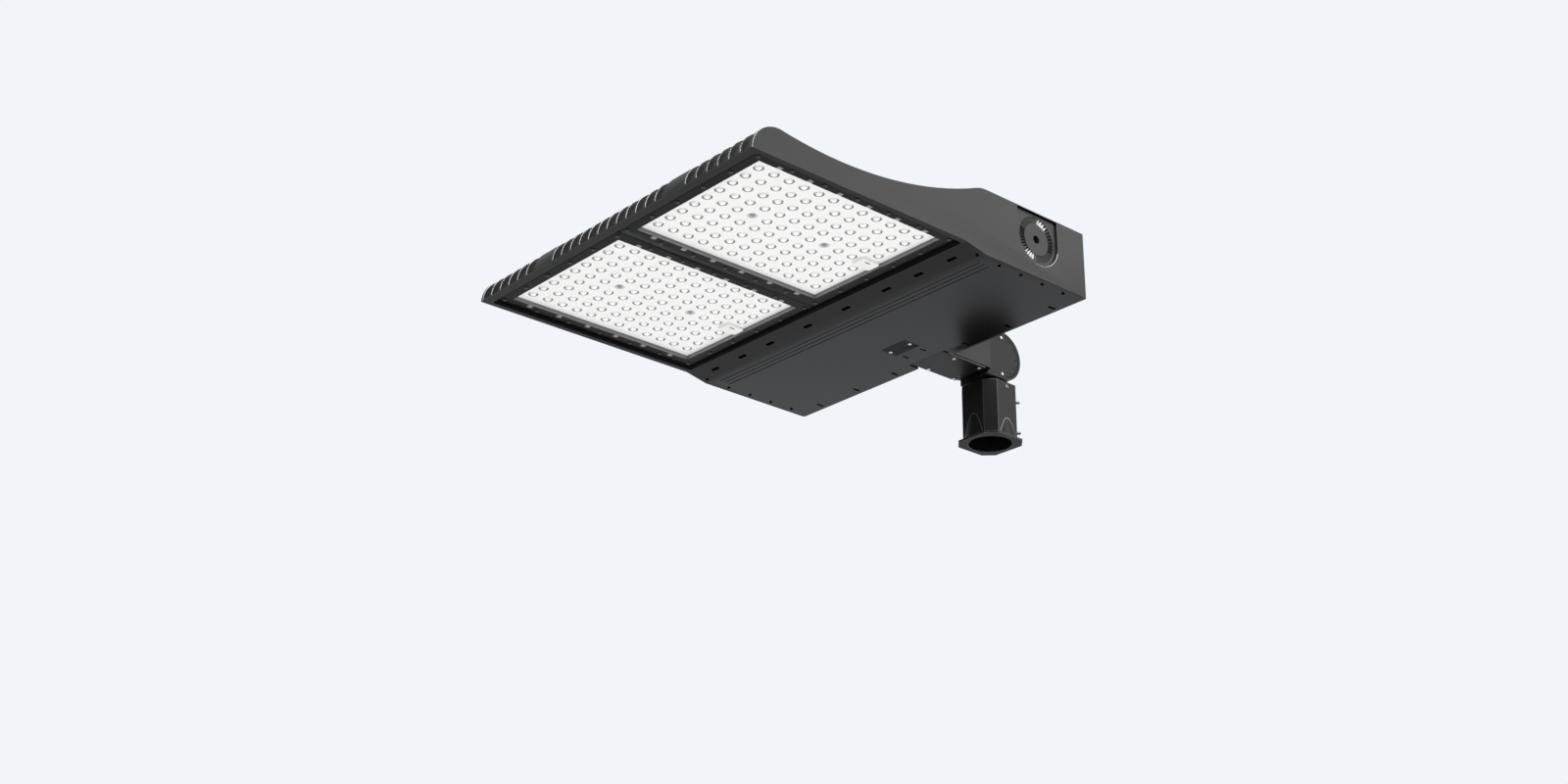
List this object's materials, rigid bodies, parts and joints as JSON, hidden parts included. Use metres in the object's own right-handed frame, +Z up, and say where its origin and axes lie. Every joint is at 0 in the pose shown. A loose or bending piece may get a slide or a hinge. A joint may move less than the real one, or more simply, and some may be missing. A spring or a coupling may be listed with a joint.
{
  "type": "led flood light",
  "caption": "Wide finned flood light head with two framed lens windows, on a hollow arm with a tilt knuckle and an eight-sided slip fitter for a pole end.",
  "frame": {"origin": "centre of the slip fitter's mouth, on the axis of its bore", "axes": "+Z up the bore, -Y towards the head's nose, +X towards the head's near side"},
  "size_m": [0.618, 0.8003, 0.211],
  "materials": {
    "housing": "powder-coated aluminium, dark charcoal, satin, fine grain",
    "cover": "dark charcoal powder coat on sheet",
    "access_plate": "dark charcoal powder coat",
    "bezel": "black moulded frame",
    "lens_plate": "milky clear moulded lenses",
    "gasket": "black seal",
    "board": "white circuit board",
    "connector": "pale moulded block",
    "driver_case": "plain extruded case",
    "plastic_black": "black moulded case",
    "plastic_white": "white moulded block",
    "bracket": "bent sheet",
    "arm": "dark charcoal powder coat, satin",
    "slip_fitter": "dark charcoal powder coat, satin",
    "screws": "stainless",
    "bolts": "stainless"
  },
  "bodies": {
    "slip_fitter": {"slip_fitter": "slip_fitter", "set_screws": "bolts"},
    "head": {"housing": "housing", "driver_cover": "cover", "driver_cover_screws": "screws", "access_plate": "access_plate", "access_plate_screws": "screws", "bezel_near": "bezel", "bezel_far": "bezel", "lens_plate_near": "lens_plate", "lens_plate_far": "lens_plate", "lens_gasket_near": "gasket", "lens_gasket_far": "gasket", "led_board_near": "board", "led_board_far": "board", "bezel_screws_near": "screws", "bezel_screws_far": "screws", "plate_screws_near": "screws", "plate_screws_far": "screws", "board_connector_near": "connector", "board_connector_far": "connector", "led_driver_near": "driver_case", "led_driver_far": "driver_case", "driver_screws": "screws", "surge_protector": "plastic_black", "terminal_bracket": "bracket", "terminal_block": "plastic_white", "arm": "arm", "arm_gasket": "gasket", "arm_bolts": "bolts", "arm_cover": "arm", "arm_cover_gasket": "gasket", "arm_cover_screws": "screws", "dial_cover_near": "arm", "dial_cover_far": "arm", "dial_cover_screws": "screws", "pivot_bolt": "bolts", "pivot_nut": "bolts", "pivot_washers": "bolts"}
  },
  "joints": [
    {"name": "head_tilt", "type": "hinge", "parent": "slip_fitter", "child": "head", "pos_m": [0, 0, 0.142], "axis": [-1, 0, 0], "range_deg": [-5, 90]}
  ]
}
